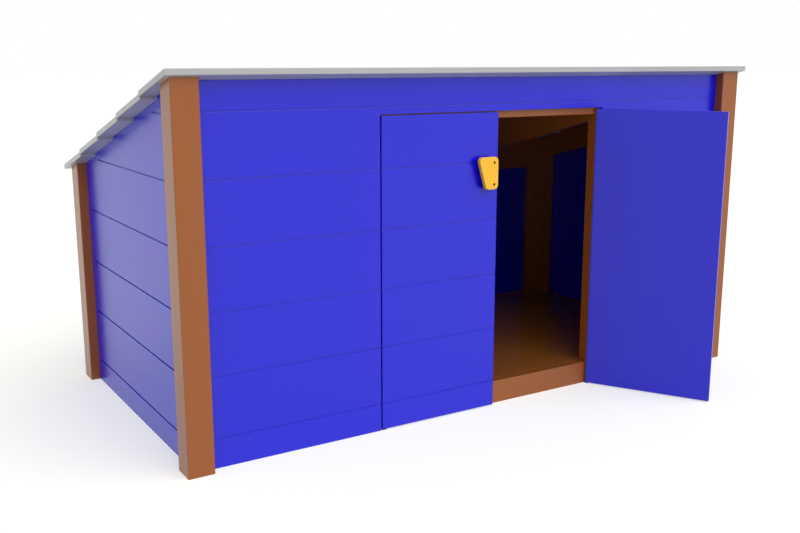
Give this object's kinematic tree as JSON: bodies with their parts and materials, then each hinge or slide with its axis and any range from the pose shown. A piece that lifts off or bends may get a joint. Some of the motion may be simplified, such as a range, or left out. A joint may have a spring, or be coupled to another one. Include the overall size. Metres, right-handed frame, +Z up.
{
  "type": "trike shed",
  "caption": "Low lean-to trike shed: square brown corner posts, blue grooved sheet walls, lapped grey board roof falling to the back, brown floor, and double front doors on pivot pins.",
  "frame": {"origin": "middle of the footprint at ground level, on the underside of the middle floor bearer", "axes": "+Z up, the doors face -Y and the roof falls towards +Y, +X to the right when facing the doors"},
  "size_m": [2.474, 1.6441, 1.2585],
  "materials": {
    "blue_sheet": "smooth polyethylene sheet, low sheen",
    "brown_lumber": "moulded recycled plastic lumber",
    "roof_grey_board": "moulded grey plastic board",
    "yellow_sheet": "routed polyethylene sheet",
    "pivot_steel": "stainless steel pin and plate"
  },
  "bodies": {
    "shed": {"back_bottom_rail": "brown_lumber", "back_left_post": "brown_lumber", "back_left_stile": "brown_lumber", "back_right_post": "brown_lumber", "back_right_stile": "brown_lumber", "back_top_rail": "brown_lumber", "back_wall": "blue_sheet", "door_lintel": "brown_lumber", "door_sill": "brown_lumber", "floor_bearer_1": "brown_lumber", "floor_bearer_2": "brown_lumber", "floor_bearer_3": "brown_lumber", "floor_panel": "brown_lumber", "front_left_post": "brown_lumber", "front_left_wall": "blue_sheet", "front_right_post": "brown_lumber", "front_right_wall": "blue_sheet", "front_top_wall": "blue_sheet", "left_back_stile": "brown_lumber", "left_bottom_pivot": "pivot_steel", "left_bottom_rail": "brown_lumber", "left_front_stile": "brown_lumber", "left_jamb": "brown_lumber", "left_rafter": "brown_lumber", "left_top_pivot": "pivot_steel", "left_top_rail": "brown_lumber", "left_wall": "blue_sheet", "right_back_stile": "brown_lumber", "right_bottom_pivot": "pivot_steel", "right_bottom_rail": "brown_lumber", "right_front_stile": "brown_lumber", "right_jamb": "brown_lumber", "right_rafter": "brown_lumber", "right_top_pivot": "pivot_steel", "right_top_rail": "brown_lumber", "right_wall": "blue_sheet", "roof_board_1": "roof_grey_board", "roof_board_2": "roof_grey_board", "roof_board_3": "roof_grey_board", "roof_board_4": "roof_grey_board", "roof_board_5": "roof_grey_board"},
    "left_door": {"left_door": "blue_sheet", "left_handle": "yellow_sheet", "left_handle_spacer": "yellow_sheet"},
    "right_door": {"right_door": "blue_sheet", "right_handle": "yellow_sheet", "right_handle_spacer": "yellow_sheet"}
  },
  "joints": [
    {"name": "left_door_hinge", "type": "hinge", "parent": "shed", "child": "left_door", "pos_m": [-0.4825, -0.5745, 0.0033], "axis": [0, 0, -1], "range_deg": [0, 120]},
    {"name": "right_door_hinge", "type": "hinge", "parent": "shed", "child": "right_door", "pos_m": [0.4825, -0.5745, 0.0033], "axis": [0, 0, 1], "range_deg": [-120, 0]}
  ]
}
